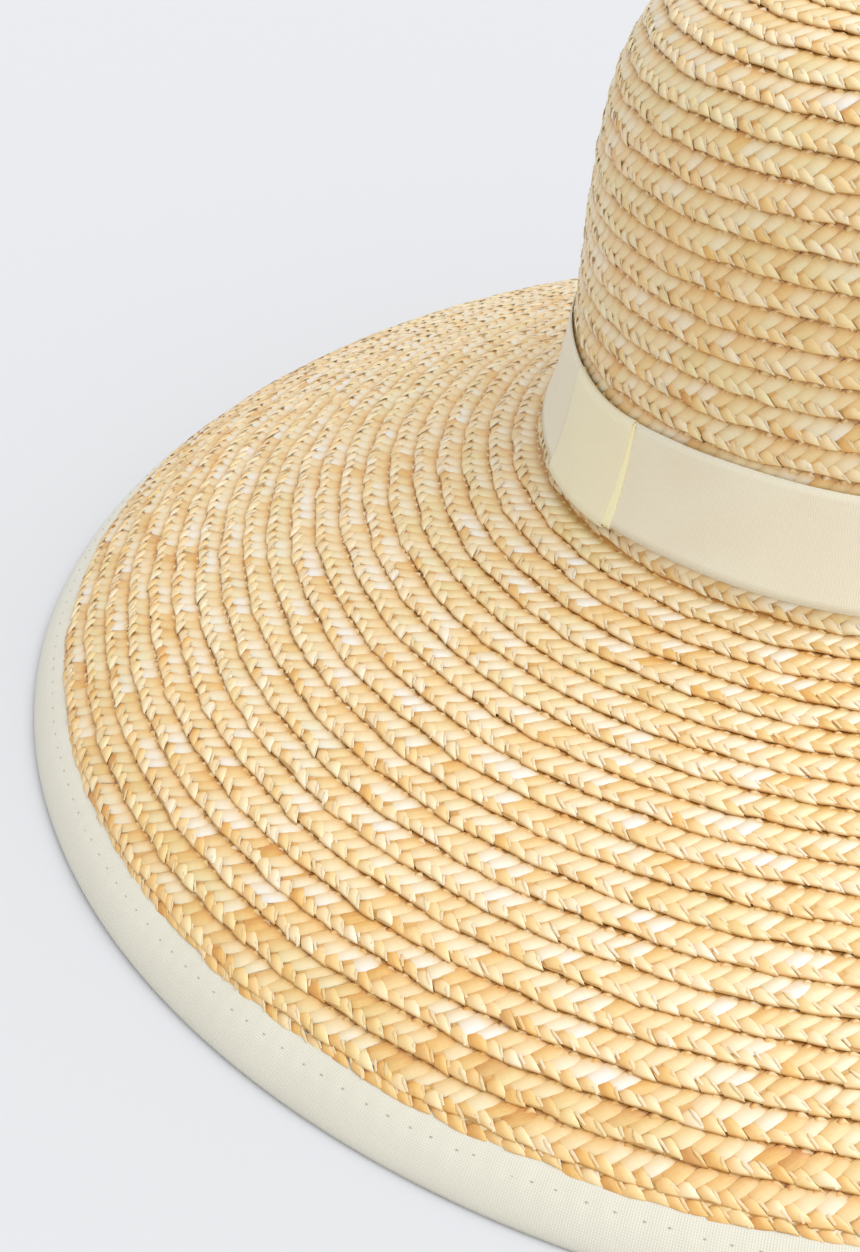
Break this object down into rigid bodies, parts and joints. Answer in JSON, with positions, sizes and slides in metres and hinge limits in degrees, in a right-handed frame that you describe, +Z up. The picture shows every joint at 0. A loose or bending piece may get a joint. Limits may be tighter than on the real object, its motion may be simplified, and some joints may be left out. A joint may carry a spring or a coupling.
{
  "type": "straw sun hat",
  "caption": "Wide-brimmed sun hat of sewn straw plait with a domed crown, a ribbon band with a flat keeper and a ribbon-bound brim edge.",
  "frame": {"origin": "under the middle of the crown, on the plane that the rim rests on", "axes": "+Z up through the crown, Y along the head's longer axis, -Y towards the front, +X to the right of someone facing the front"},
  "size_m": [0.4362, 0.4522, 0.1831],
  "materials": {
    "straw": "plaited and sewn wheat straw, satin",
    "ribbon": "cream ribbed grosgrain ribbon, matt"
  },
  "bodies": {
    "root": {"crown": "straw", "brim": "straw", "hat_band": "ribbon", "band_keeper": "ribbon", "brim_binding": "ribbon"}
  },
  "joints": []
}
